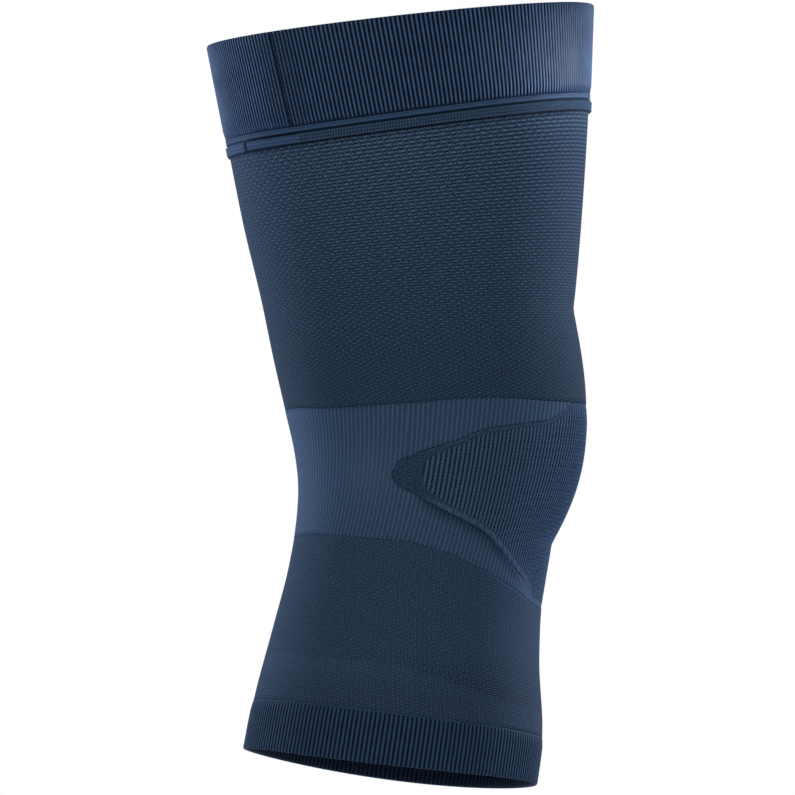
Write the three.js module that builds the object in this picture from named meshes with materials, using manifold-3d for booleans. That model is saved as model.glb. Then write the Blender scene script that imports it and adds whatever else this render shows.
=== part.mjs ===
// Knee sleeve for the right leg, in the form that it takes when worn.
// Millimetres, +Z up along the leg, front of the knee towards -Y, inner side of the knee towards +X.
// The origin lies in the middle of the knee, inside the sleeve, level with the kneecap.

import * as THREE from "three";
import { mergeVertices } from "three/addons/utils/BufferGeometryUtils.js";
import Module from "manifold-3d";

const wasm = await Module();
wasm.setup();

// Lengths along the leg, from the origin
const thighHeight = 168;
const shankHeight = 132.5;
const bandHeight = 37.5;
const weltHeight = 2.6;
const tapeHeight = 4.4;
const tapeSlope = 0.5;
const cuffHeight = 19.3;

// Inside sizes of the leg hollow: depth is front to back, width is side to side
const topDepth = 154.5;
const topWidth = 145;
const kneeDepth = 100.8;
const kneeWidth = 109;
const hemDepth = 116.6;
const hemWidth = 108;
const calfNarrowing = 6;

// How the leg bends: set back of the rings from the knee, and their tilt in degrees
const kneeSetBack = 4.6;
const thighSetBack = 10.4;
const shankSetBack = 14.6;
const ringTilt = 7;
const thighLean = 1.8;
const shankLean = 2.2;
const leanRound = 20;
const edgeDip = 2.5;

// The kneecap's dome on the front
const kneecapRise = 10.4;
const kneecapSpread = 32;
const kneecapDrop = 2;
const kneecapUp = 55;
const kneecapDown = 40;
const domeSharpness = 1.1;

// Fabric thicknesses, all measured out from the leg hollow
const knitWall = 1.2;
const kneeRibWall = 1.3;
const panelWall = 1.7;
const bandWall = 1.9;
const weltWall = 1.8;
const tapeWall = 2.2;
const cuffWall = 1.7;
const seamGap = 0.3;

// Vertical ribs, real counts round the leg
const bandRibs = 264;
const cuffRibs = 200;
const ribDepth = 0.5;

// The band's joining seam and the lap of the tape, both on the outer side behind the middle
const sideSeamAngle = -123;
const sideSeamWidth = 12;
const sideSeamDepth = 0.35;
const tapeLapAngle = -143.5;
const tapeLapLength = 11;
const tapeLapRise = 0.6;

// Knit zones at the knee, as heights and places in the side view
const kneeZoneUp = 12.5;
const kneeZoneDown = 44;
const panelTipBack = 13;
const panelTipDown = 17.3;
const panelHeight = 82;

// How finely the cloth is faceted
const clothColumns = 40;
const rowStep = 15;
const borderSteps = 11;
const finestDetail = 0.03;

// The leg form, ring by ring from the top down.
// height: share of thighHeight, or below the knee of shankHeight
// grow, spread: how far depth and width have gone from the knee's size to that of the end
// narrow: share of calfNarrowing, back: share of the set back on that side of the knee
// tilt: share of ringTilt, front up; lean: share of thighLean or shankLean, outwards
// square: fullness of the four corners, dip: share of edgeDip by which both sides hang lower
const legRings = [
  { height: 1.0, grow: 1.0, spread: 1.0, narrow: 0, back: 1.0, tilt: 0.84, lean: 1, square: 0.02, dip: 0.3 },
  { height: 0.74, grow: 0.81, spread: 0.78, narrow: 0, back: 0.67, tilt: 1.01, lean: 1, square: 0.02, dip: 0.7 },
  { height: 0.56, grow: 0.66, spread: 0.62, narrow: 0, back: 0.5, tilt: 0.84, lean: 1, square: 0.02, dip: 0.3 },
  { height: 0.36, grow: 0.46, spread: 0.41, narrow: 0, back: 0.3, tilt: 0.54, lean: 1, square: 0.03, dip: 0 },
  { height: 0.2, grow: 0.3, spread: 0.22, narrow: 0, back: 0.21, tilt: 0.33, lean: 0.8, square: 0.05, dip: 0 },
  { height: 0.085, grow: 0.185, spread: 0.09, narrow: 0, back: 0.11, tilt: 0.14, lean: 0.4, square: 0.07, dip: 0 },
  { height: -0.043, grow: 0.23, spread: 0, narrow: 0, back: 0, tilt: 0.03, lean: -0.1, square: 0.08, dip: 0 },
  { height: -0.152, grow: 0.06, spread: 0.1, narrow: 0.3, back: 0, tilt: -0.31, lean: -0.5, square: 0.08, dip: 0 },
  { height: -0.27, grow: 0, spread: 0.2, narrow: 0.75, back: 0.08, tilt: -0.69, lean: -0.8, square: 0.06, dip: 0 },
  { height: -0.44, grow: 0.01, spread: 0.4, narrow: 1, back: 0.32, tilt: -0.89, lean: -1, square: 0.05, dip: 0 },
  { height: -0.625, grow: 0.34, spread: 0.6, narrow: 0.7, back: 0.57, tilt: -0.94, lean: -1, square: 0.04, dip: 0.1 },
  { height: -0.855, grow: 0.92, spread: 0.9, narrow: 0.1, back: 0.79, tilt: -1.03, lean: -1, square: 0.03, dip: 0.4 },
  { height: -1.0, grow: 1.0, spread: 1.0, narrow: 0, back: 1.0, tilt: -0.97, lean: -1, square: 0.03, dip: 1 },
];

// Borders of the knit zones in the side view.
// forward: share of kneeDepth in front of the knee's middle, up: share of the zone's named height
const thighBorder = [
  { forward: -1.2, up: 0.94 },
  { forward: -0.5, up: 0.9 },
  { forward: -0.25, up: 0.86 },
  { forward: 0, up: 0.96 },
  { forward: 0.27, up: 1.12 },
  { forward: 0.5, up: 1.1 },
  { forward: 1.2, up: 1.1 },
];
const calfBorder = [
  { forward: -1.2, up: -0.88 },
  { forward: -0.6, up: -0.9 },
  { forward: -0.3, up: -0.94 },
  { forward: -0.04, up: -1.0 },
  { forward: 0.13, up: -1.12 },
  { forward: 0.25, up: -1.26 },
  { forward: 0.36, up: -1.43 },
  { forward: 0.44, up: -1.58 },
  { forward: 0.7, up: -1.66 },
  { forward: 1.2, up: -1.7 },
];

// Both edges of the kneecap panel, from its tip.
// forward: share of kneeDepth in front of the tip, up: share of panelHeight above it
const panelUpperEdge = [
  { forward: 0, up: 0.012 },
  { forward: 0.03, up: 0.072 },
  { forward: 0.17, up: 0.134 },
  { forward: 0.36, up: 0.215 },
  { forward: 0.56, up: 0.272 },
  { forward: 0.63, up: 0.3 },
  { forward: 0.685, up: 0.378 },
];
const panelLowerEdge = [
  { forward: 0.545, up: -0.605 },
  { forward: 0.46, up: -0.415 },
  { forward: 0.395, up: -0.3 },
  { forward: 0.31, up: -0.225 },
  { forward: 0.15, up: -0.125 },
  { forward: 0.02, up: -0.02 },
];

const navyThread = 0x2f3f5a;
const paleThread = 0x3d4d69;
const darkThread = 0x253349;
const tapeThread = 0x34435f;

function clothMaterial(color, roughness) {
  return new THREE.MeshStandardMaterial({ color, roughness, metalness: 0, flatShading: true });
}

// The table's rows turned to real sizes, from the hem up
function ringFromRow(row) {
  const thigh = row.height > 0;
  const depthGain = (thigh ? topDepth : hemDepth) - kneeDepth;
  const widthGain = (thigh ? topWidth : hemWidth) - kneeWidth;
  return {
    height: row.height * (thigh ? thighHeight : shankHeight),
    halfDepth: (kneeDepth + row.grow * depthGain) / 2,
    halfWidth: (kneeWidth + row.spread * widthGain - row.narrow * calfNarrowing) / 2,
    back: kneeSetBack + row.back * (thigh ? thighSetBack : shankSetBack),
    tilt: THREE.MathUtils.degToRad(row.tilt * ringTilt),
    lean: THREE.MathUtils.degToRad(row.lean * (row.lean > 0 ? thighLean : shankLean)),
    square: row.square,
    dip: row.dip * edgeDip,
  };
}
const rings = legRings.map(ringFromRow).reverse();

// Slope of one column at a ring, from its two neighbours
function columnSlope(column, index) {
  const below = rings[Math.max(index - 1, 0)];
  const here = rings[index];
  const above = rings[Math.min(index + 1, rings.length - 1)];
  if (below === here || above === here) {
    return (above[column] - below[column]) / (above.height - below.height);
  }
  const slopeBelow = (here[column] - below[column]) / (here.height - below.height);
  const slopeAbove = (above[column] - here[column]) / (above.height - here.height);
  const nearBelow = (above.height - here.height) / (above.height - below.height);
  return slopeBelow * nearBelow + slopeAbove * (1 - nearBelow);
}

// The leg's ring at any height, on a smooth curve through the table
function ringAt(height) {
  const last = rings.length - 1;
  const inside = THREE.MathUtils.clamp(height, rings[0].height, rings[last].height);
  const upper = Math.max(1, rings.findIndex((ring) => ring.height >= inside));
  const low = rings[upper - 1];
  const high = rings[upper];
  const span = high.height - low.height;
  const t = (inside - low.height) / span;
  const ring = {};
  for (const column of Object.keys(low)) {
    const slopeLow = columnSlope(column, upper - 1) * span;
    const slopeHigh = columnSlope(column, upper) * span;
    ring[column] =
      (2 * t ** 3 - 3 * t ** 2 + 1) * low[column] +
      (t ** 3 - 2 * t ** 2 + t) * slopeLow +
      (3 * t ** 2 - 2 * t ** 3) * high[column] +
      (t ** 3 - t ** 2) * slopeHigh;
  }
  const leaning = height > 0 ? thighLean : shankLean;
  ring.height = height;
  ring.shift = -(Math.hypot(height, leanRound) - leanRound) * Math.tan(THREE.MathUtils.degToRad(leaning));
  return ring;
}

// How far the kneecap pushes the front out at a place
function kneecapDome(x, z) {
  const fromMiddle = z + kneecapDrop;
  const reach = fromMiddle > 0 ? kneecapUp : kneecapDown;
  const dome = Math.max(0, 1 - (fromMiddle / reach) ** 2) ** domeSharpness;
  return kneecapRise * dome * Math.exp(-((x / kneecapSpread) ** 2));
}

// A point of the leg form. angle: from the front towards the inner side, out: distance
// outside the skin
function legPoint(angle, height, out) {
  const ring = ringAt(height);
  const cos = Math.cos(angle);
  const sin = Math.sin(angle);
  const x = (ring.halfWidth + out) * sin * (1 + ring.square * cos ** 2);
  let along = -(ring.halfDepth + out) * cos;
  if (cos > 0) {
    along -= kneecapDome(x, height - along * Math.sin(ring.tilt));
  }
  const y = along * Math.cos(ring.tilt);
  const rise = -along * Math.sin(ring.tilt) + x * Math.tan(ring.lean) - ring.dip * sin ** 2;
  return new THREE.Vector3(x + ring.shift, ring.back + y, height + rise);
}

// A closed mesh as a solid that can be joined and cut
function solidFrom(geometry) {
  geometry.deleteAttribute("normal");
  geometry.deleteAttribute("uv");
  const merged = mergeVertices(geometry);
  const index = merged.getIndex().array;
  const corners = [];
  for (let i = 0; i < index.length; i += 3) {
    const [a, b, c] = [index[i], index[i + 1], index[i + 2]];
    if (a !== b && b !== c && c !== a) {
      corners.push(a, b, c);
    }
  }
  return new wasm.Manifold(
    new wasm.Mesh({
      numProp: 3,
      vertProperties: Float32Array.from(merged.getAttribute("position").array),
      triVerts: Uint32Array.from(corners),
    }),
  );
}

// Both faces of a wall between two heights: up the outside, down the inside and closed.
// x is the distance outside the skin, y the height
function wallProfile(from, to, wall, step) {
  const rows = Math.max(1, Math.round((to - from) / step));
  const outside = [];
  for (let row = 0; row <= rows; row += 1) {
    outside.push(new THREE.Vector2(wall, THREE.MathUtils.lerp(from, to, row / rows)));
  }
  const inside = outside.map((point) => new THREE.Vector2(0, point.y)).reverse();
  return [...outside, ...inside, outside[0].clone()];
}

// A ring of fabric: a blank turned at a large radius, then stretched over the leg form.
// grooveAt gives how much is taken off the outside at an angle round the leg
const blankRadius = 100;
function legTube(profile, columns, grooveAt) {
  const turned = profile.map((point) => new THREE.Vector2(blankRadius + point.x, point.y));
  const blank = new THREE.LatheGeometry(turned, columns);
  const position = blank.getAttribute("position");
  for (let i = 0; i < position.count; i += 1) {
    const out = Math.hypot(position.getX(i), position.getZ(i)) - blankRadius;
    const turn = Math.atan2(position.getX(i), position.getZ(i)) / (2 * Math.PI);
    const column = Math.round(turn * columns + columns) % columns;
    const angle = (column / columns) * 2 * Math.PI;
    const outside = out > seamGap ? out - grooveAt(angle) : 0;
    const point = legPoint(angle, position.getY(i), outside);
    position.setXYZ(i, point.x, point.y, point.z);
  }
  return solidFrom(blank);
}

function clothTube(from, to, wall) {
  return legTube(wallProfile(from, to, wall, rowStep), clothColumns, () => 0);
}

// Share of a rib's full depth that is left beside the band's joining seam
function seamFlattening(angle) {
  const radius = (topDepth + topWidth) / 4;
  const away = THREE.MathUtils.radToDeg(angle) - ((sideSeamAngle + 360) % 360);
  const distance = Math.abs(THREE.MathUtils.degToRad(away)) * radius;
  return distance < sideSeamWidth / 2 ? 1 - sideSeamDepth : 1;
}

// A ribbed ring: crests and grooves in turn, one of each to a rib
function ribbedRing(from, to, wall, ribs, depthShare) {
  const groove = (angle) => (ribDepth / 2) * (1 - Math.cos(ribs * angle)) * depthShare(angle);
  return legTube(wallProfile(from, to, wall, to - from), 2 * ribs, groove);
}

// Heights at which one piece gives way to the next
const ribsBottom = thighHeight - bandHeight;
const tapeTop = ribsBottom - weltHeight;
const tapeBottom = tapeTop - tapeHeight;
const cuffTop = -shankHeight + cuffHeight;
const halfGap = seamGap / 2;

function thighBand() {
  return ribbedRing(ribsBottom + halfGap, thighHeight, bandWall, bandRibs, seamFlattening);
}

// A wedge round the leg's middle line between two angles, as tall as the whole sleeve
function wedge(fromAngle, toAngle, middleX, middleY) {
  const reach = topDepth;
  const shape = new THREE.Shape();
  shape.moveTo(0, 0);
  for (const degrees of [fromAngle, toAngle]) {
    const angle = THREE.MathUtils.degToRad(degrees);
    shape.lineTo(reach * Math.sin(angle), -reach * Math.cos(angle));
  }
  shape.closePath();
  const height = thighHeight + shankHeight;
  const geometry = new THREE.ExtrudeGeometry(shape, { depth: height, bevelEnabled: false });
  geometry.translate(middleX, middleY, -shankHeight);
  return solidFrom(geometry);
}

// The smooth welt under the ribs and the proud tape below it, with the tape's lapped end
function bandSeam() {
  const from = tapeBottom + halfGap;
  const to = ribsBottom - halfGap;
  const profile = [
    new THREE.Vector2(tapeWall, from),
    new THREE.Vector2(tapeWall, tapeTop - tapeSlope),
    new THREE.Vector2(weltWall, tapeTop),
    new THREE.Vector2(weltWall, to),
    new THREE.Vector2(0, to),
    new THREE.Vector2(0, from),
    new THREE.Vector2(tapeWall, from),
  ];
  const middle = ringAt(from);
  const lapDegrees = THREE.MathUtils.radToDeg(tapeLapLength / (topDepth / 2));
  const lap = clothTube(from, tapeTop - tapeSlope, tapeWall + tapeLapRise)
    .intersect(wedge(tapeLapAngle - lapDegrees, tapeLapAngle, middle.shift, middle.back));
  return legTube(profile, clothColumns, () => 0).add(lap);
}

function hemCuff() {
  return ribbedRing(-shankHeight, cuffTop - halfGap, cuffWall, cuffRibs, () => 1);
}

// A slab across the whole sleeve with this outline in the side view
function sideSlab(outline) {
  const reach = topWidth;
  const shape = new THREE.Shape(outline.map((point) => new THREE.Vector2(-point.y, point.z)));
  const geometry = new THREE.ExtrudeGeometry(shape, { depth: 2 * reach, bevelEnabled: false });
  geometry.translate(0, 0, -reach);
  geometry.applyMatrix4(new THREE.Matrix4().makeBasis(
    new THREE.Vector3(0, -1, 0),
    new THREE.Vector3(0, 0, 1),
    new THREE.Vector3(-1, 0, 0),
  ));
  return solidFrom(geometry);
}

// A smooth line through a table of places, moved off by the distance given, upwards when positive
function smoothLine(places, distance) {
  const curve = new THREE.SplineCurve(places.map((place) => new THREE.Vector2(-place.y, place.z)));
  const line = [];
  for (let step = 0; step <= borderSteps; step += 1) {
    const point = curve.getPoint(step / borderSteps);
    const tangent = curve.getTangent(step / borderSteps);
    line.push({ y: -(point.x - tangent.y * distance), z: point.y + tangent.x * distance });
  }
  return line;
}

function borderLine(table, zoneHeight, distance) {
  const places = table.map((row) => ({ y: -row.forward * kneeDepth, z: row.up * zoneHeight }));
  return smoothLine(places, distance);
}

// Everything on one side of a border: above it when the end height is high, below it when low
function beyondBorder(line, endHeight) {
  const back = { y: line[0].y, z: endHeight };
  const front = { y: line[line.length - 1].y, z: endHeight };
  const outline = endHeight > 0 ? [...line, front, back] : [back, front, ...line.slice().reverse()];
  return sideSlab(outline);
}

// The kneecap panel's outline in the side view, grown by the distance given. Both edges end
// bluntly at the horns of the ribbed zone and run on past the front
function panelOutline(distance) {
  const place = (row) => ({
    y: panelTipBack - row.forward * kneeDepth,
    z: row.up * panelHeight - panelTipDown,
  });
  const upper = smoothLine(panelUpperEdge.map(place), distance);
  const lower = smoothLine(panelLowerEdge.map(place).reverse(), -distance);
  const upperHorn = upper[upper.length - 1];
  const lowerHorn = lower[lower.length - 1];
  const front = -topDepth;
  return [
    ...upper,
    { y: upperHorn.y, z: thighHeight },
    { y: front, z: thighHeight },
    { y: front, z: -shankHeight },
    { y: lowerHorn.y, z: -shankHeight },
    ...lower.slice().reverse(),
  ];
}

// The knitted tube between the tape and the cuff, cut into its zones
function knitZones() {
  const from = cuffTop + halfGap;
  const to = tapeBottom - halfGap;
  const above = beyondBorder(borderLine(thighBorder, kneeZoneUp, halfGap), thighHeight);
  const below = beyondBorder(borderLine(calfBorder, kneeZoneDown, -halfGap), -shankHeight);
  const middleTop = beyondBorder(borderLine(thighBorder, kneeZoneUp, -halfGap), thighHeight);
  const middleBottom = beyondBorder(borderLine(calfBorder, kneeZoneDown, halfGap), -shankHeight);
  const knit = clothTube(from, to, knitWall);
  const ribbed = clothTube(from, to, kneeRibWall);
  const pierced = clothTube(from, to, panelWall);
  return {
    thigh: knit.intersect(above),
    calf: knit.intersect(below),
    knee: ribbed.subtract(middleTop).subtract(middleBottom).subtract(sideSlab(panelOutline(halfGap))),
    panel: pierced.subtract(middleTop).subtract(middleBottom).intersect(sideSlab(panelOutline(-halfGap))),
  };
}

function addPiece(group, name, solid, material) {
  const cut = solid.simplify(finestDetail).getMesh();
  const geometry = new THREE.BufferGeometry();
  geometry.setAttribute("position", new THREE.BufferAttribute(Float32Array.from(cut.vertProperties), 3));
  geometry.setIndex(Array.from(cut.triVerts));
  geometry.computeVertexNormals();
  const piece = new THREE.Mesh(geometry, material);
  piece.name = name;
  group.add(piece);
}

function kneeSleeve() {
  const sleeve = new THREE.Group();
  const zones = knitZones();
  addPiece(sleeve, "thigh_band", thighBand(), clothMaterial(darkThread, 0.75));
  addPiece(sleeve, "band_seam", bandSeam(), clothMaterial(tapeThread, 0.7));
  addPiece(sleeve, "thigh_knit", zones.thigh, clothMaterial(navyThread, 0.85));
  addPiece(sleeve, "knee_ribs", zones.knee, clothMaterial(paleThread, 0.75));
  addPiece(sleeve, "patella_panel", zones.panel, clothMaterial(darkThread, 0.9));
  addPiece(sleeve, "calf_knit", zones.calf, clothMaterial(navyThread, 0.85));
  addPiece(sleeve, "hem_cuff", hemCuff(), clothMaterial(darkThread, 0.8));
  return sleeve;
}

export default kneeSleeve();
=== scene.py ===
import math
import bpy
import numpy as np
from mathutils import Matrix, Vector


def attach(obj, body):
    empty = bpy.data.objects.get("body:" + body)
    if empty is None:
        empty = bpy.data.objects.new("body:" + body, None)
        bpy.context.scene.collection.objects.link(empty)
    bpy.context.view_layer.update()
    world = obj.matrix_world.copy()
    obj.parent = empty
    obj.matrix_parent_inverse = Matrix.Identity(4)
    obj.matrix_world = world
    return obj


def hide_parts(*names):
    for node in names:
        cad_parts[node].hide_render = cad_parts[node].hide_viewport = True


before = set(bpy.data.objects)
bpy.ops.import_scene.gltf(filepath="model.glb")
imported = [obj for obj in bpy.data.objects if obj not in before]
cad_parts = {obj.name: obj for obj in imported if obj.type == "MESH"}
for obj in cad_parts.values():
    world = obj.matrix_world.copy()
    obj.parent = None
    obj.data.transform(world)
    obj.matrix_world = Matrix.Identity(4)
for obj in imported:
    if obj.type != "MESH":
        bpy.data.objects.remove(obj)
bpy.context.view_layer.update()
scene = bpy.context.scene

# Lengths are in millimetres until a mesh is made. A turn is an angle round the leg, from the front
# of the knee towards the outer side, and a height is counted up the leg from the knee.
millimetre = 0.001

# The leg form that the sleeve is stretched over

legForm = {
    "thighHeight": 168, "shankHeight": 132.5,
    "topDepth": 154.5, "topWidth": 145,
    "kneeDepth": 100.8, "kneeWidth": 109,
    "hemDepth": 116.6, "hemWidth": 108, "calfNarrowing": 6,
    "kneeSetBack": 4.6, "thighSetBack": 10.4, "shankSetBack": 14.6,
    "ringTilt": 7, "thighLean": 1.8, "shankLean": 2.2, "leanRound": 20, "edgeDip": 2.5,
    "kneecapRise": 10.4, "kneecapSpread": 32, "kneecapDrop": 2,
    "kneecapUp": 55, "kneecapDown": 40, "domeSharpness": 1.1,
}

# Rings from the top down: height as a share of thighHeight, or below the knee of shankHeight,
# then depth and width gained, calf narrowing, set back, tilt, lean, fullness of the corners and dip
legRings = [
    (1.0, 1.0, 1.0, 0, 1.0, 0.84, 1, 0.02, 0.3),
    (0.74, 0.81, 0.78, 0, 0.67, 1.01, 1, 0.02, 0.7),
    (0.56, 0.66, 0.62, 0, 0.5, 0.84, 1, 0.02, 0.3),
    (0.36, 0.46, 0.41, 0, 0.3, 0.54, 1, 0.03, 0),
    (0.2, 0.3, 0.22, 0, 0.21, 0.33, 0.8, 0.05, 0),
    (0.085, 0.185, 0.09, 0, 0.11, 0.14, 0.4, 0.07, 0),
    (-0.043, 0.23, 0, 0, 0, 0.03, -0.1, 0.08, 0),
    (-0.152, 0.06, 0.1, 0.3, 0, -0.31, -0.5, 0.08, 0),
    (-0.27, 0, 0.2, 0.75, 0.08, -0.69, -0.8, 0.06, 0),
    (-0.44, 0.01, 0.4, 1, 0.32, -0.89, -1, 0.05, 0),
    (-0.625, 0.34, 0.6, 0.7, 0.57, -0.94, -1, 0.04, 0.1),
    (-0.855, 0.92, 0.9, 0.1, 0.79, -1.03, -1, 0.03, 0.4),
    (-1.0, 1.0, 1.0, 0, 1.0, -0.97, -1, 0.03, 1),
]


def smoothThrough(places, values, at):
    # a smooth curve through a table, whose places rise
    places, values = np.asarray(places, float), np.asarray(values, float)
    steps = np.diff(values) / np.diff(places)
    gaps = np.diff(places)
    slopes = np.empty(len(places))
    slopes[0], slopes[-1] = steps[0], steps[-1]
    slopes[1:-1] = (steps[:-1] * gaps[1:] + steps[1:] * gaps[:-1]) / (gaps[1:] + gaps[:-1])
    at = np.clip(np.asarray(at, float), places[0], places[-1])
    low = np.clip(np.searchsorted(places, at) - 1, 0, len(places) - 2)
    span = gaps[low]
    t = (at - places[low]) / span
    return ((2 * t ** 3 - 3 * t ** 2 + 1) * values[low] + (t ** 3 - 2 * t ** 2 + t) * slopes[low] * span
            + (3 * t ** 2 - 2 * t ** 3) * values[low + 1] + (t ** 3 - t ** 2) * slopes[low + 1] * span)


def ringColumns():
    # the table in real sizes, from the hem up
    columns = []
    for height, grow, spread, narrow, back, tilt, lean, square, dip in reversed(legRings):
        thigh = height > 0
        depthGain = legForm["topDepth" if thigh else "hemDepth"] - legForm["kneeDepth"]
        widthGain = legForm["topWidth" if thigh else "hemWidth"] - legForm["kneeWidth"]
        setBack = legForm["thighSetBack" if thigh else "shankSetBack"]
        leaning = legForm["thighLean" if lean > 0 else "shankLean"]
        columns.append((
            height * legForm["thighHeight" if thigh else "shankHeight"],
            (legForm["kneeDepth"] + grow * depthGain) / 2,
            (legForm["kneeWidth"] + spread * widthGain - narrow * legForm["calfNarrowing"]) / 2,
            legForm["kneeSetBack"] + back * setBack,
            math.radians(tilt * legForm["ringTilt"]), math.radians(lean * leaning),
            square, dip * legForm["edgeDip"]))
    return np.array(columns).T


legColumns = ringColumns()


def legPoint(turn, height, out):
    # out is the distance outside the skin
    halfDepth, halfWidth, back, tilt, lean, square, dip = (
        smoothThrough(legColumns[0], column, height) for column in legColumns[1:])
    cos, sin = np.cos(turn), np.sin(turn)
    x = -(halfWidth + out) * sin * (1 + square * cos ** 2)
    along = -(halfDepth + out) * cos
    fromKneecap = height - along * np.sin(tilt) + legForm["kneecapDrop"]
    reach = np.where(fromKneecap > 0, legForm["kneecapUp"], legForm["kneecapDown"])
    dome = np.maximum(0, 1 - (fromKneecap / reach) ** 2) ** legForm["domeSharpness"]
    dome = dome * np.exp(-(x / legForm["kneecapSpread"]) ** 2) * (cos > 0)
    along = along - legForm["kneecapRise"] * dome
    leaning = np.where(height > 0, legForm["thighLean"], legForm["shankLean"])
    shift = -(np.hypot(height, legForm["leanRound"]) - legForm["leanRound"]) * np.tan(np.radians(leaning))
    y = back + along * np.cos(tilt)
    z = height - along * np.sin(tilt) + x * np.tan(lean) - dip * sin ** 2
    return np.stack([x + shift, y, z], -1)


# Heights and borders of the knit zones

zoneHeights = {"bandBottom": 130.5, "tapeTop": 127.9, "tapeBottom": 123.5, "cuffTop": -113.2}
zoneGap = 0.06        # what the zones keep between them
panelTip = 97.5       # degrees round the leg from the front, on both sides
hornTip = 14.8        # where the ribbed zone's horns end, near the front

# Rows of degrees from the front and height, the same on both sides of the leg
thighLine = [(0, 13.1), (25.3, 13.1), (38, 13.6), (55.5, 14.1), (74, 13.3), (80, 12.8), (93.8, 12.2),
             (110, 11.5), (126, 11.3), (143.8, 12.4), (180, 12.4)]
calfLine = [(0, -63), (15, -62), (28, -58.9), (39, -56), (48, -53.5), (57, -51.4), (66, -48.8),
            (77, -47.2), (86, -45.5), (100, -45.6), (116, -45.2), (180, -45.2)]
panelTopLine = [(14.8, 12.9), (19.4, 10.1), (25.9, 6.2), (35.1, 4.6), (45.9, 3.1), (60.3, 0.4),
                (69.6, -3.4), (80.8, -6.6), (89.4, -9.8), (95.8, -14.0), (97.5, -17.4)]
panelLowLine = [(14.8, -61.9), (20.8, -56.4), (32.1, -51.1), (41.6, -45.5), (51.6, -39.4), (63, -35.2),
                (71.1, -32.7), (81.9, -28.7), (90, -24.6), (96, -21.5), (97.5, -19.6)]


def degreesFromFront(turn):
    return np.degrees(np.abs((turn + math.pi) % (2 * math.pi) - math.pi))


def lineAt(table, turn):
    places, heights = zip(*table)
    return smoothThrough(places, heights, degreesFromFront(turn))


def evenKnit(given):
    # ribs evenly round the leg and courses evenly up it
    return lambda turn, height: (walesAt(given["ribs"], turn, height, given["lean"]),
                                 height / given["coursePitch"])


def everywhere(value):
    # the same value all over a piece
    return lambda turn, height: np.full(len(turn), float(value))


def addObject(name, data):
    made = bpy.data.objects.new(name, data)
    scene.collection.objects.link(made)
    return made


def patch(turns, lows, highs, shares):
    # a grid of places between two borders, each a height or one height for each turn;
    # shares are the rows from the lower border to the upper one
    turnGrid = np.broadcast_to(turns, (len(shares), len(turns)))
    heightGrid = lows + (highs - lows) * np.asarray(shares)[:, None]
    return turnGrid, np.broadcast_to(heightGrid, turnGrid.shape)


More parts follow.
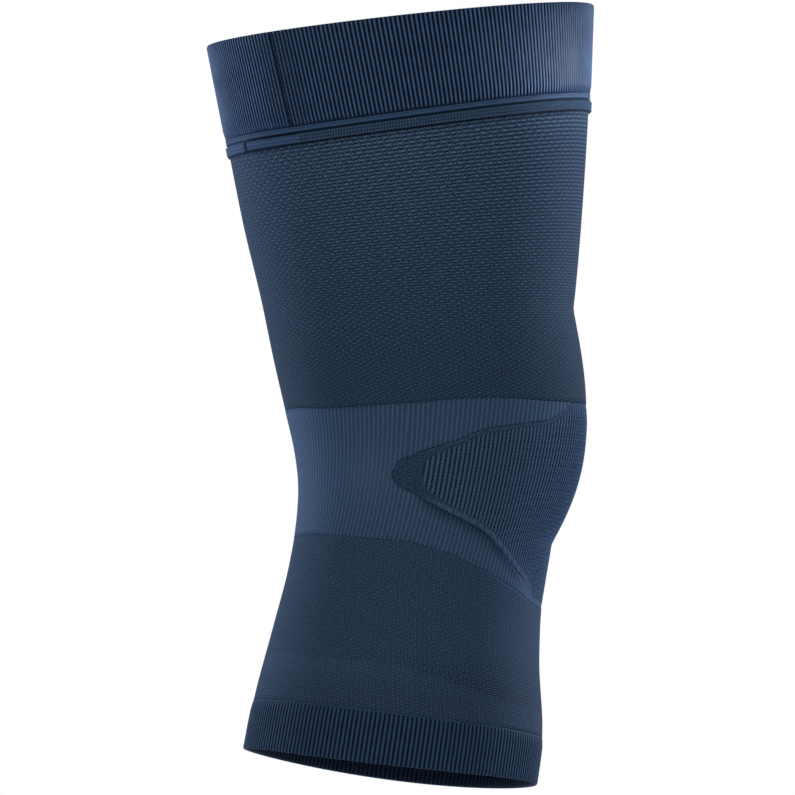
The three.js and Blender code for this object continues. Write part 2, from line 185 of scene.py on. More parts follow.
def knitShell(name, patches, outerAt, innerAt, knitAt, reliefAt, rim):
    # a knit zone as an outer and an inner face with closed rims:
    # outerAt and innerAt give the distance outside the skin, knitAt wales and courses and
    # reliefAt the share of the full relief. rim says how far the top and bottom edges bulge, in
    # how many steps, how much of the relief the inner face has, and marks, which the colours use.
    turns = np.concatenate([grid[0].ravel() for grid in patches])
    heights = np.concatenate([grid[1].ravel() for grid in patches])
    quads, start = [], 0
    for turnGrid, heightGrid in patches:
        index = np.arange(turnGrid.size).reshape(turnGrid.shape) + start
        cells = index[:-1, :-1], index[:-1, 1:], index[1:, 1:], index[1:, :-1]
        quads.append(np.stack(cells, -1).reshape(-1, 4))
        start += turnGrid.size
    quads = np.concatenate(quads)
    keys = np.round(np.stack([((turns + 1e-6) % (2 * math.pi)) * 1e5, heights * 1e3], -1)).astype(np.int64)
    _, first, joined = np.unique(keys, axis=0, return_index=True, return_inverse=True)
    joined = joined.reshape(-1)
    count = len(first)
    turn, height = turns[first], heights[first]
    outside = legPoint(turn, height, outerAt(turn, height))
    inside = legPoint(turn, height, innerAt(turn, height))

    corners = joined[quads]
    ahead = np.roll(corners, -1, 1)
    edges = np.stack([corners, ahead], -1).reshape(-1, 2)
    codes = edges[:, 0] * count + edges[:, 1]
    backward = edges[:, 1] * count + edges[:, 0]
    borderEdges = np.flatnonzero((edges[:, 0] != edges[:, 1]) & ~np.isin(codes, backward))
    side = borderEdges % 4                   # 0 is the lower border, 2 the upper one
    face = borderEdges // 4
    points = np.concatenate([outside, inside])
    relief = reliefAt(turn, height)
    reliefs = np.concatenate([relief, -rim.get("inside", 0) * relief])

    # the rim's points between the two faces, bulging away from the cloth
    steps = rim.get("steps", 1)
    onRim = np.unique(edges[borderEdges])
    away = np.zeros((count, 3))
    bulge, bulges = np.zeros(count), np.array([rim.get("bottom", 0), 0, rim.get("top", 0), 0], float)
    for end, inward in ((0, 3), (1, 2)):
        here = corners[face, (side + end) % 4]
        there = corners[face, (side + inward) % 4]
        np.add.at(away, here, outside[here] - outside[there])
        bulge[here] = bulges[side]
    away /= np.maximum(np.linalg.norm(away, axis=1, keepdims=True), 1e-9)
    rimPlace = np.zeros(count, int)
    rimPlace[onRim] = np.arange(len(onRim))
    ladder = [np.arange(count)]
    for step in range(1, steps):
        angle = math.pi * step / steps
        middle = (outside[onRim] + inside[onRim]) / 2
        spread = (outside[onRim] - inside[onRim]) / 2
        points = np.concatenate([points, middle + spread * math.cos(angle)
                                 + away[onRim] * bulge[onRim, None] * math.sin(angle)])
        fade = max(math.cos(angle), 0)
        reliefs = np.concatenate([reliefs, relief[onRim] * fade])
        ladder.append(2 * count + (step - 1) * len(onRim) + rimPlace)
    ladder.append(np.arange(count) + count)

    faces = [corners, (corners + count)[:, ::-1]]
    sources = [quads, quads[:, ::-1]]
    source = quads[face, side], quads[face, (side + 1) % 4]
    for upper, lower in zip(ladder[:-1], ladder[1:]):
        a, b = edges[borderEdges, 0], edges[borderEdges, 1]
        faces.append(np.stack([upper[b], upper[a], lower[a], lower[b]], -1))
        sources.append(np.stack([source[1], source[0], source[0], source[1]], -1))
    faces, sources = np.concatenate(faces), np.concatenate(sources)

    # a face that is pinched at a tip becomes a triangle
    pinched = faces == np.roll(faces, -1, 1)
    whole = ~pinched.any(1)
    faceList = faces[whole].tolist()
    sourceList = [sources[whole].reshape(-1)]
    for corner in range(4):
        rows = pinched[:, corner] & (pinched.sum(1) == 1)
        keep = [c for c in range(4) if c != corner]
        faceList += faces[rows][:, keep].tolist()
        sourceList.append(sources[rows][:, keep].reshape(-1))

    mesh = bpy.data.meshes.new(name)
    mesh.from_pydata((points * millimetre).tolist(), [], faceList)
    wales, courses = knitAt(turns, heights)
    corner = np.concatenate(sourceList)
    uv = mesh.uv_layers.new(name="knit")
    uv.data.foreach_set("uv", np.stack([wales[corner], courses[corner]], -1).astype(np.float32).ravel())
    every = [np.concatenate([part, part] + [part[onRim]] * (steps - 1)) for part in (turn, height)]
    wale, course = knitAt(*every)
    # the inner face, which the colours darken as painted shade
    inner = np.zeros(len(points))
    inner[count:2 * count] = 1
    marks = rim.get("marks", everywhere(0))(*every)
    carried = {"wale": wale, "course": course, "relief": reliefs, "inner": inner, "marks": marks}
    for key, values in carried.items():
        mesh.attributes.new(key, "FLOAT", "POINT").data.foreach_set("value", values.astype(np.float32))
    mesh.polygons.foreach_set("use_smooth", [True] * len(mesh.polygons))
    mesh.update()
    shell = addObject(name, mesh)
    if signedVolume(mesh) < 0:
        mesh.flip_normals()
    return shell


def signedVolume(mesh):
    mesh.calc_loop_triangles()
    corners = np.empty(len(mesh.loop_triangles) * 3, np.int32)
    mesh.loop_triangles.foreach_get("vertices", corners)
    places = np.empty(len(mesh.vertices) * 3, np.float32)
    mesh.vertices.foreach_get("co", places)
    a, b, c = places.reshape(-1, 3)[corners.reshape(-1, 3)].transpose(1, 0, 2).astype(float)
    return np.einsum("ij,ij->i", a, np.cross(b, c)).sum() / 6


def walesAt(ribs, turn, height, lean):
    # wales counted round the leg; lean is the turn gained per millimetre up
    return ribs * (turn - lean * height) / (2 * math.pi)


def ringTurns(columns):
    return np.linspace(0, 2 * math.pi, columns + 1)


def smoothStep(values, start, end):
    t = np.clip((values - start) / (end - start), 0, 1)
    return t * t * (3 - 2 * t)


# Materials: the shares of the yarn colours below, and of the sheen of their fuzz, that the dye leaves

dyeShare = 0.76
sheenShare = 0.72
fullRelief = 0.4      # the relief from which a rib has its full colours


def linearColour(code):
    # an sRGB hex value as the linear colour that Blender works in
    parts = [int(code[i:i + 2], 16) / 255 for i in (1, 3, 5)]
    return [c / 12.92 if c <= 0.04045 else ((c + 0.055) / 1.055) ** 2.4 for c in parts] + [1.0]


def addNode(tree, kind, inputs=None, **settings):
    # a node that is given as an input stands for its first output
    node = tree.nodes.new(kind)
    for key, value in settings.items():
        setattr(node, key, value)
    for socket, value in (inputs or {}).items():
        target = node.inputs[socket]
        if isinstance(value, bpy.types.Node):
            value = value.outputs[0]
        if isinstance(value, bpy.types.NodeSocket):
            tree.links.new(value, target)
        else:
            target.default_value = value
    return node


def newMaterial(name):
    material = bpy.data.materials.new(name)
    material.use_nodes = True
    material.node_tree.nodes.clear()
    return material, material.node_tree


def knitPlaces(tree):
    # wales and courses of the piece's own UV map, turned to angles
    knit = addNode(tree, "ShaderNodeUVMap", uv_map="knit").outputs["UV"]
    parts = addNode(tree, "ShaderNodeSeparateXYZ", {0: knit}).outputs
    return (knit, *(addNode(tree, "ShaderNodeMath", {0: part, 1: math.pi}, operation="MULTIPLY")
                    for part in parts[:2]))


def waves(tree, terms):
    # sum of products of cosines; a term is its weight, then pairs of an angle and a factor
    total = None
    for weight, *pairs in terms:
        product = None
        for angle, factor in pairs:
            scaled = addNode(tree, "ShaderNodeMath", {0: angle, 1: factor}, operation="MULTIPLY")
            wave = addNode(tree, "ShaderNodeMath", {0: scaled}, operation="COSINE")
            product = wave if product is None else addNode(
                tree, "ShaderNodeMath", {0: product, 1: wave}, operation="MULTIPLY")
        total = addNode(tree, "ShaderNodeMath", {0: product, 1: weight, 2: total or 0.0},
                        operation="MULTIPLY_ADD")
    return total


def finishFabric(tree, colour, height, look):
    # the shader of every fabric here: yarn colours in, stitch height as bump
    bump = addNode(tree, "ShaderNodeBump", {
        "Strength": 0.8, "Distance": look["bump"] * millimetre, "Height": height})
    shader = addNode(tree, "ShaderNodeBsdfPrincipled", {
        "Base Color": colour, "Roughness": look["roughness"], "IOR": 1.53,
        "Specular IOR Level": look.get("specular", 0.06),
        "Sheen Weight": look["sheen"] * sheenShare, "Sheen Roughness": 0.35,
        "Sheen Tint": linearColour("#5f8fd8"), "Normal": bump})
    addNode(tree, "ShaderNodeOutputMaterial", {"Surface": shader})


def yarnColour(tree, shade, uneven, look):
    # shade runs from 0 in the gaps to 1 on the crests, and the ramp paints the gaps and openings dark as
    # their shade; uneven mottles it
    mixed = addNode(tree, "ShaderNodeMath", {0: uneven, 1: look.get("mottle", 0.25), 2: shade},
                    operation="MULTIPLY_ADD")
    ramp = addNode(tree, "ShaderNodeValToRGB", {0: mixed})
    stops = look["yarn"]
    elements = ramp.color_ramp.elements
    for element, (place, code) in zip(elements, (stops[0], stops[-1])):
        element.position, element.color = place, dyed(code, look)
    for place, code in stops[1:-1]:
        elements.new(place).color = dyed(code, look)
    # painted shade: the inner face is darkened as the shade inside the sleeve, and on the knee ribs the marks
    # add a painted shadow under the panel's ridge
    inner = addNode(tree, "ShaderNodeAttribute", attribute_name="inner").outputs["Fac"]
    paintedShade = addNode(tree, "ShaderNodeMath", {0: inner, 1: 0.6}, operation="MULTIPLY")
    if look.get("paintedShadow"):
        marks = addNode(tree, "ShaderNodeAttribute", attribute_name="marks").outputs["Fac"]
        paintedShade = addNode(tree, "ShaderNodeMath", {0: marks, 1: look["paintedShadow"], 2: paintedShade},
                        operation="MULTIPLY_ADD")
    return addNode(tree, "ShaderNodeMix", {0: paintedShade, 6: ramp, 7: linearColour("#04070d")},
                   data_type="RGBA").outputs[2]


def dyed(code, look):
    # every yarn takes the same dye, some of it deeper
    share = dyeShare * look.get("dye", 1.0)
    return [c * share for c in linearColour(code)[:3]] + [1.0]


def mottling(tree, knit, stretch, look):
    # uneven take-up of the dye from loop to loop, about 0; grain counts the patches in a wale
    stretched = addNode(tree, "ShaderNodeMapping", {0: knit, 3: stretch})
    uneven = addNode(tree, "ShaderNodeTexNoise", {
        "Vector": stretched, "Scale": look.get("grain", 1.0), "Detail": 2.0, "Roughness": 0.6},
        noise_dimensions="2D")
    return addNode(tree, "ShaderNodeMath", {0: uneven, 1: 0.5}, operation="SUBTRACT")


def ribWave(tree, angle, power):
    # 1 on the crest of each rib and 0 in the grooves
    wave = addNode(tree, "ShaderNodeMath", {0: angle}, operation="COSINE")
    crest = addNode(tree, "ShaderNodeMath", {0: wave}, operation="ABSOLUTE")
    return addNode(tree, "ShaderNodeMath", {0: crest, 1: power}, operation="POWER")


def meshKnit(name, look):
    # circular mesh knit of polyamide microfibre over elastane: matt yarn round openings painted dark as
    # shade.
    # Its single loops are too fine to show, so each group of them is drawn as one coarser wave.
    material, tree = newMaterial(name)
    knit, wale, course = knitPlaces(tree)
    pattern = waves(tree, [
        (look["pairs"], (course, 2), (wale, 1)), (look["wales"], (wale, 2)),
        (look["dots"], (wale, 2), (course, 2)), (look["stagger"], (course, 1), (wale, 0.5))])
    place = addNode(tree, "ShaderNodeTexCoord").outputs["Object"]
    # the rows between two heights, and flatter behind, where the knit is stretched less
    _, behind, level = addNode(tree, "ShaderNodeSeparateXYZ", {0: place}).outputs
    (low, lowRows), (high, highRows) = look["rowsFrom"], look["rowsTo"]
    strength = addNode(tree, "ShaderNodeMapRange", {
        0: level, 1: low * millimetre, 2: high * millimetre, 3: lowRows, 4: highRows})
    even = addNode(tree, "ShaderNodeMapRange", {0: behind, 1: 0.03, 2: 0.065, 3: 1.0, 4: look["rowsBehind"]})
    strength = addNode(tree, "ShaderNodeMath", {0: strength, 1: even}, operation="MULTIPLY")
    rows = addNode(tree, "ShaderNodeMath", {0: waves(tree, [(1.0, (course, 2))]), 1: strength, 2: pattern},
                   operation="MULTIPLY_ADD")
    lift = addNode(tree, "ShaderNodeMapRange", {
        0: level, 1: low * millimetre, 2: high * millimetre, 3: look["lift"][0], 4: look["lift"][1]})
    marks = addNode(tree, "ShaderNodeAttribute", attribute_name="marks").outputs["Fac"]
    marked = addNode(tree, "ShaderNodeMath", {0: marks, 1: look.get("edge", 0.0), 2: lift},
                     operation="MULTIPLY_ADD")
    lifted = addNode(tree, "ShaderNodeMath", {0: marked, 1: 0.5}, operation="ADD")
    shade = addNode(tree, "ShaderNodeMath", {0: rows, 1: 0.5, 2: lifted}, operation="MULTIPLY_ADD")
    uneven = mottling(tree, knit, (0.5, 1.0, 1.0), look)
    finishFabric(tree, yarnColour(tree, shade, uneven, look), shade, look)
    return material


def ribKnit(name, look):
    # rib knit of bright polyamide yarn: satin crests, and grooves that fall into shade
    material, tree = newMaterial(name)
    knit, wale, course = knitPlaces(tree)
    crest = ribWave(tree, wale, look["sharpness"])
    if look.get("beadDepth"):
        run = addNode(tree, "ShaderNodeMath", {0: course, 1: look["beads"], 2: wale},
                      operation="MULTIPLY_ADD")
        link = addNode(tree, "ShaderNodeMath", {0: run}, operation="COSINE")
        marks = addNode(tree, "ShaderNodeAttribute", attribute_name="marks").outputs["Fac"]
        part = addNode(tree, "ShaderNodeMath", {0: marks, 1: look["beadDepth"]}, operation="MULTIPLY")
        bead = addNode(tree, "ShaderNodeMath", {0: link, 1: part, 2: 1.0}, operation="MULTIPLY_ADD")
        crest = addNode(tree, "ShaderNodeMath", {0: bead, 1: crest}, operation="MULTIPLY")
    angles = {"wale": wale, "course": course}
    fine = waves(tree, [(weight, *((angles[key], factor) for key, factor in pairs))
                        for weight, *pairs in look["fine"]])
    stitched = addNode(tree, "ShaderNodeMath", {0: fine, 1: crest}, operation="ADD")
    # where the relief fades out, the plain ground shows; on the seam tape the relief stands for its painted
    # light, so its dark plain ground there is painted shade
    relief = addNode(tree, "ShaderNodeAttribute", attribute_name="relief").outputs["Fac"]
    raised = addNode(tree, "ShaderNodeMath", {0: relief}, operation="ABSOLUTE")
    raised = addNode(tree, "ShaderNodeMath", {0: raised, 1: 1 / fullRelief}, operation="MULTIPLY",
                     use_clamp=True)
    shade = addNode(tree, "ShaderNodeMix", {0: raised, 2: look.get("plain", 0.6), 3: stitched})
    # marks shift the shade: on the knee ribs they are a painted shadow under the panel's ridge and a painted
    # pool of light behind its tip, on the panel a paler ridge and roll
    if look.get("edge"):
        marks = addNode(tree, "ShaderNodeAttribute", attribute_name="marks").outputs["Fac"]
        shade = addNode(tree, "ShaderNodeMath", {0: marks, 1: look["edge"], 2: shade},
                        operation="MULTIPLY_ADD")
    uneven = mottling(tree, knit, (1.0, look["streak"], 1.0), look)
    finishFabric(tree, yarnColour(tree, shade, uneven, look), shade, look)
    return material


# Geometry Nodes: relief of the ribs, and stitches along a path

def newNodeGroup(name, sockets):
    tree = bpy.data.node_groups.new(name, "GeometryNodeTree")
    tree.interface.new_socket(name="Geometry", in_out="INPUT", socket_type="NodeSocketGeometry")
    tree.interface.new_socket(name="Geometry", in_out="OUTPUT", socket_type="NodeSocketGeometry")
    for label, kind in sockets.items():
        tree.interface.new_socket(name=label, in_out="INPUT", socket_type="NodeSocket" + kind)
    return tree, addNode(tree, "NodeGroupInput").outputs


def closeNodeGroup(tree, geometry, material):
    real = addNode(tree, "GeometryNodeRealizeInstances", {0: geometry})
    painted = addNode(tree, "GeometryNodeSetMaterial", {"Geometry": real, "Material": material})
    addNode(tree, "NodeGroupOutput", {0: painted})
    return tree


def ribReliefTree():
    # raises rounded ribs along the wales
    tree, given = newNodeGroup("ribRelief", {
        "Rib Height": "Float", "Crest Power": "Float", "Material": "Material"})
    named = {key: addNode(tree, "GeometryNodeInputNamedAttribute", {0: key}, data_type="FLOAT")
             for key in ("wale", "relief")}
    angle = addNode(tree, "ShaderNodeMath", {0: named["wale"], 1: math.pi}, operation="MULTIPLY")
    crest = ribWave(tree, angle, given["Crest Power"])
    size = addNode(tree, "ShaderNodeMath", {0: named["relief"], 1: given["Rib Height"]},
                   operation="MULTIPLY")
    rise = addNode(tree, "ShaderNodeMath", {0: crest, 1: size}, operation="MULTIPLY")
    normal = addNode(tree, "GeometryNodeInputNormal")
    offset = addNode(tree, "ShaderNodeVectorMath", {0: normal, "Scale": rise}, operation="SCALE")
    moved = addNode(tree, "GeometryNodeSetPosition", {"Geometry": given["Geometry"], "Offset": offset})
    return closeNodeGroup(tree, moved, given["Material"])


def stitchTree():
    # little rounded stitches set evenly on a path, turned by the slant on the cloth's surface
    tree, given = newNodeGroup("stitchRow", {
        "Stitch Count": "Int", "Stitch Length": "Float", "Stitch Width": "Float", "Stitch Rise": "Float",
        "Slant": "Float", "Zigzag": "Float", "Jitter": "Float", "Seed": "Int", "Material": "Material"})
    curve = addNode(tree, "GeometryNodeMeshToCurve", {0: given["Geometry"]})
    even = addNode(tree, "GeometryNodeResampleCurve", {"Curve": curve, "Count": given["Stitch Count"]})
    outward = addNode(tree, "GeometryNodeInputNamedAttribute", {0: "outward"}, data_type="FLOAT_VECTOR")
    tangent = addNode(tree, "GeometryNodeInputTangent")
    upright = addNode(tree, "FunctionNodeAlignRotationToVector", {"Vector": outward}, axis="Z")
    along = addNode(tree, "FunctionNodeAlignRotationToVector", {
        "Rotation": upright, "Vector": tangent}, axis="X", pivot_axis="Z")
    index = addNode(tree, "GeometryNodeInputIndex")
    odd = addNode(tree, "ShaderNodeMath", {0: index, 1: 2.0}, operation="MODULO")
    flip = addNode(tree, "ShaderNodeMath", {0: odd, 1: given["Zigzag"]}, operation="MULTIPLY")
    loose = addNode(tree, "FunctionNodeRandomValue", {
        "Min": -1.0, "Max": 1.0, "Seed": given["Seed"]}, data_type="FLOAT")
    stray = addNode(tree, "ShaderNodeMath", {
        0: loose.outputs["Value"], 1: given["Jitter"], 2: given["Slant"]}, operation="MULTIPLY_ADD")
    turned = addNode(tree, "ShaderNodeMath", {0: stray, 1: flip}, operation="ADD")
    spin = addNode(tree, "FunctionNodeAxisAngleToRotation", {"Axis": (0, 0, 1), "Angle": turned})
    rotation = addNode(tree, "FunctionNodeRotateRotation", {
        "Rotation": along, "Rotate By": spin}, rotation_space="LOCAL")
    ball = addNode(tree, "GeometryNodeMeshUVSphere", {"Segments": 6, "Rings": 5, "Radius": 0.5})
    size = addNode(tree, "ShaderNodeCombineXYZ", {
        0: given["Stitch Length"], 1: given["Stitch Width"], 2: given["Stitch Rise"]})
    stitch = addNode(tree, "GeometryNodeTransform", {"Geometry": ball, "Scale": size})
    smooth = addNode(tree, "GeometryNodeSetShadeSmooth", {"Geometry": stitch})
    row = addNode(tree, "GeometryNodeInstanceOnPoints", {
        "Points": even, "Instance": smooth, "Rotation": rotation})
    return closeNodeGroup(tree, row, given["Material"])


def bakeNodes(target, tree, values):
    # runs a tree on an object and keeps the result as its plain mesh
    modifier = target.modifiers.new(tree.name, "NODES")
    modifier.node_group = tree
    for item in tree.interface.items_tree:
        if item.in_out == "INPUT" and item.name in values:
            modifier[item.identifier] = values[item.name]
    made = bpy.data.meshes.new_from_object(target.evaluated_get(bpy.context.evaluated_depsgraph_get()))
    target.modifiers.remove(modifier)
    made.name = target.name
    target.data = made


ribRelief = ribReliefTree()
stitchRow = stitchTree()


def stitchPath(name, turns, heights, outs):
    # a line on the cloth with its outward direction, for the stitches to follow
    places = legPoint(turns, heights, outs) * millimetre
    outward = legPoint(turns, heights, outs + 1) * millimetre - places
    mesh = bpy.data.meshes.new(name)
    mesh.from_pydata(places.tolist(), [(i, i + 1) for i in range(len(places) - 1)], [])
    mesh.attributes.new("outward", "FLOAT_VECTOR", "POINT").data.foreach_set(
        "vector", outward.astype(np.float32).ravel())
    return addObject(name, mesh)


def raiseRibs(shell, given, material):
    bakeNodes(shell, ribRelief, {"Rib Height": given["ribHeight"] * millimetre,
                                 "Crest Power": given["crestPower"], "Material": material})


def sewStitches(path, given, seed, material):
    bakeNodes(path, stitchRow, {
        "Stitch Count": given["stitches"], "Stitch Length": given["stitchLength"] * millimetre,
        "Stitch Width": given["stitchWidth"] * millimetre, "Stitch Rise": given["stitchRise"] * millimetre,
        "Slant": given["slant"], "Zigzag": given["zigzag"], "Jitter": given["jitter"], "Seed": seed,
        "Material": material})


def dress(piece, slot, node=None, flat=None, **more):
    # hands a finished piece to the frame
    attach(piece, "root")
    if node:
        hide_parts(node)


# Thigh band: tall ribbed elastic with a joining seam at the outer side

thighBand = {
    # 264 ribs round 470 mm are 1.8 mm apart
    "ribs": 264, "samples": 6, "rows": 10, "wall": 1.9, "ribHeight": 0.5, "crestPower": 0.75,
    "innerOut": 0.25, "lean": 0.0013, "coursePitch": 1.45, "seamTurn": 123, "seamWidth": 1.6,
    "chainWidth": 10.5, "edgeBulge": 0.8, "flat": (400, 37),
    # bright polyamide over rubber: satin crests with a blue rim, and grooves painted nearly black as shade
    "look": {"yarn": [(0.35, "#01040a"), (0.7, "#1a2e49"), (0.98, "#4b6c9a")], "sharpness": 1.1,
             "dye": 0.8, "fine": [(0.05, ("course", 4))], "streak": 0.25, "mottle": 0.3,
             "beadDepth": 0.4, "beads": 3.2,
             "roughness": 0.42, "specular": 0.07, "sheen": 0.75, "bump": 0.05},
    # matt sewing thread, a dark line down the seam
    "seamLook": {"yarn": [(0.2, "#04080f"), (0.95, "#152238")], "sharpness": 1,
                 "fine": [(0.0, ("course", 2))], "streak": 0.3,
                 "roughness": 0.6, "sheen": 0.05, "bump": 0.02},
    "seam": {"stitches": 36, "stitchLength": 1.3, "stitchWidth": 0.5, "stitchRise": 0.5,
             "slant": -0.35, "zigzag": 0.7, "jitter": 0.1},
}


def makeThighBand(given):
    print("thigh band: ribs and joining seam")
    top = legForm["thighHeight"] - given["edgeBulge"]
    low = zoneHeights["bandBottom"] + zoneGap
    turns = ringTurns(given["ribs"] * given["samples"])
    grid = patch(turns, low, top, np.linspace(0, 1, given["rows"] + 1))

    def fromSeam(turn, height):
        along = turn - given["lean"] * (height - (low + top) / 2)
        return np.abs(along - math.radians(given["seamTurn"])) * legForm["topWidth"] / 2

    def reliefAt(turn, height):
        pulled = 0.35 + 0.65 * smoothStep(fromSeam(turn, height), 0.8, given["seamWidth"])
        return smoothStep(height, low, low + 1.2) * pulled

    def beadsAt(turn, height):
        # beside the seam the pulled ribs show as rows of beads
        return 1 - smoothStep(fromSeam(turn, height), given["chainWidth"] - 2, given["chainWidth"])

    rim = {"top": given["edgeBulge"], "bottom": 0.1, "steps": 4, "inside": -0.45, "marks": beadsAt}
    shell = knitShell("thighBandKnit", [grid], everywhere(given["wall"] - given["ribHeight"]),
                      everywhere(given["innerOut"]), evenKnit(given), reliefAt, rim)
    raiseRibs(shell, given, ribKnit("navyRibbedElastic", given["look"]))
    dress(shell, "ribbed_elastic", "thigh_band", given["flat"])
    rise = np.linspace(low + 0.8, top - 0.5, 60)
    turn = math.radians(given["seamTurn"]) + given["lean"] * (rise - (low + top) / 2)
    path = stitchPath("bandSeamStitches", turn, rise, given["wall"] - 0.1)
    sewStitches(path, given["seam"], 5, ribKnit("darkSeamThread", given["seamLook"]))
    dress(path, "ribbed_elastic")


makeThighBand(thighBand)


# Seam under the band: smooth welt and a stitched tape with a lapped end

bandSeam = {
    "columns": 900, "weltWall": 1.8, "tapeWall": 2.2, "slope": 0.5, "lapTurn": 143.5, "lapLength": 11,
    "lapRise": 0.8, "foldDepth": 0.55, "linePitch": 1.5, "stitchesFrom": -150, "stitchesTo": 119,
    "stitches": 290, "stitchLength": 1.5, "stitchWidth": 0.5, "stitchRise": 0.5,
    "slant": -0.95, "zigzag": 0.0, "jitter": 0.12, "flat": (400, 10),
    # twill tape of textured polyamide: matt, and paler than the grooves above it
    "look": {"yarn": [(0.0, "#03070f"), (0.6, "#1f324b"), (1.15, "#456083")], "sharpness": 1, "plain": 0.0,
             "fine": [(-0.2, ("course", 0)), (0.1, ("course", 2))], "streak": 1.0, "mottle": 0.35,
             "roughness": 0.6, "sheen": 0.17, "bump": 0.06},
    # polyester thread: a pale stitch with a soft light on its back
    "threadLook": {"yarn": [(0.2, "#1c2d45"), (0.6, "#425973"), (0.95, "#5a7492")], "sharpness": 1,
                   "plain": 0.8, "fine": [(0.0, ("course", 2))], "streak": 1.0, "mottle": 0.5,
                   "roughness": 0.5, "sheen": 0.1, "bump": 0.02},
}


def makeBandSeam(given):
    print("band seam: welt, tape and stitches")
    low, top = zoneHeights["tapeBottom"] + zoneGap, zoneHeights["bandBottom"] - zoneGap
    middle = zoneHeights["tapeTop"]
    turns = ringTurns(given["columns"])
    levels = [low, low + 0.25, low + 0.7, low + 1.5, low + 2.4, middle - 1.0, middle - 0.5, middle - 0.25,
              middle, middle + 0.25, middle + 0.5, middle + 1.1, middle + 1.7, top - 0.3, top]
    grid = patch(turns, low, top, (np.array(levels) - low) / (top - low))
    lapStart = math.radians(given["lapTurn"])
    lapRun = given["lapLength"] / (legForm["topDepth"] / 2)

    def outerAt(turn, height):
        tape = 1 - smoothStep(height, middle - given["slope"], middle)
        edge = smoothStep(height, low - 0.1, low + 0.6)
        lap = smoothStep(turn, lapStart - 2.5 * lapRun, lapStart)
        lap = lap * (1 - smoothStep(turn, lapStart, lapStart + 0.012))
        tapeOut = given["tapeWall"] - 0.3 + 0.3 * edge + given["lapRise"] * lap * edge
        fold = given["foldDepth"] * np.exp(-((height - middle) / 0.3) ** 2)
        fold = fold + given["foldDepth"] * np.exp(-((turn - lapStart - 0.024) / 0.014) ** 2) * tape
        return given["weltWall"] - 0.15 + (tapeOut - given["weltWall"] + 0.15) * tape - fold

    def litAt(turn, height):
        # full on the open cloth, less in the fold, between the stitches, under the lapped end
        # and along the two edges
        sharp = np.where(turn > lapStart + 0.01, 0.15, 0.7 + 0.3 * (turn > lapStart - 3 * lapRun))
        fold = np.exp(-((height - middle) / 0.45) ** 2) * sharp
        hem = np.exp(-((height - low) / 0.4) ** 2) * sharp
        end = np.exp(-((turn - lapStart - 0.018) / 0.024) ** 2) * (height < middle)
        stitched = 0.3 * (turn < math.radians(given["stitchesTo"])) * (height < middle - 0.3)
        return fullRelief * (1 - np.minimum(1, fold + hem + end + stitched))

    def knitAt(turn, height):
        return np.zeros(len(turn)), height / given["linePitch"]

    shell = knitShell("bandSeamTape", [grid], outerAt, everywhere(0), knitAt, litAt,
                      {"top": 0.05, "bottom": 0.15, "steps": 2, "inside": 1})
    shell.data.materials.append(ribKnit("navyTwillTape", given["look"]))
    thread = ribKnit("navyStitchThread", given["threadLook"])
    # three rows a little apart, from the lower edge up
    for number, (share, seed) in enumerate(((0.22, 3), (0.56, 4), (0.9, 5))):
        around = np.radians(np.linspace(given["stitchesFrom"], given["stitchesTo"], 600))
        height = np.full(len(around), low + share * (middle - given["slope"] - low))
        out = outerAt(around % (2 * math.pi), height)
        path = stitchPath("tapeStitches%d" % (number + 1), around, height, out)
        sewStitches(path, given, seed, thread)
        dress(path, "seam_tape")
    dress(shell, "seam_tape", "band_seam", given["flat"])


makeBandSeam(bandSeam)


# Thigh knit: open mesh knit whose courses draw closer towards the knee

thighKnit = {
    # 368 wales round 405 mm are 1.1 mm apart
    "columns": 300, "rows": 48, "wall": 1.2, "wales": 368, "lean": 0.0031,
    "kneeCourse": 0.593, "courseGrowth": 0.00852, "flat": (330, 105),
    # polyamide microfibre: matt slate blue, with openings painted as dark dots of shade
    "look": {"yarn": [(0.05, "#060c18"), (0.5, "#24374c"), (0.95, "#566f8c")],
             "rowsFrom": (20, 0.1), "rowsTo": (115, 0.5), "rowsBehind": 0.35, "lift": (-0.02, 0.09),
             "pairs": 0.36, "wales": 0.12, "dots": 0.16, "stagger": 0.22, "mottle": 0.7, "grain": 2.0,
             "roughness": 0.7, "sheen": 0.08, "bump": 0.2},
}


def makeThighKnit(given):
    print("thigh knit: mesh")
    turns = ringTurns(given["columns"])
    lows = lineAt(thighLine, turns) + zoneGap
    grid = patch(turns, lows, zoneHeights["tapeBottom"] - zoneGap, np.linspace(0, 1, given["rows"] + 1))

    def knitAt(turn, height):
        pitch = given["kneeCourse"] + given["courseGrowth"] * height
        return (walesAt(given["wales"], turn, height, given["lean"]),
                np.log(pitch) / given["courseGrowth"])

    shell = knitShell("thighMeshKnit", [grid], everywhere(given["wall"]), everywhere(0), knitAt,
                      everywhere(0), {})
    shell.data.materials.append(meshKnit("navyMeshKnit", given["look"]))
    dress(shell, "mesh_knit", "thigh_knit", given["flat"])


makeThighKnit(thighKnit)


# Ribbed zone round the knee, with a horn above and below the kneecap panel on each side

kneeRibs = {
    # 175 ribs round 345 mm are 2 mm apart, with two rows of loops on each
    "ribs": 175, "columns": 1400, "rows": 10, "wall": 1.3, "ribHeight": 0.09, "crestPower": 0.8,
    "lean": -0.0022, "coursePitch": 0.9, "paintedShadowWidth": 3.2, "flat": (290, 40),
    # the same yarn stretched over the joint: the palest and smoothest knit, with a soft bloom
    "look": {"yarn": [(0.1, "#283d55"), (0.6, "#324860"), (1.1, "#445a76")], "sharpness": 0.8,
             "fine": [(0.34, ("wale", 4)), (0.1, ("course", 2), ("wale", 2)), (0.08, ("course", 2))],
             # the last two values on the next line paint a shadow under the panel's ridge and a pool of light
             # behind its tip
             "streak": 0.5, "mottle": 1.1, "grain": 2.0, "paintedShadow": 0.42, "edge": -0.32,
             "roughness": 0.6, "sheen": 0.45, "bump": 0.05},
}


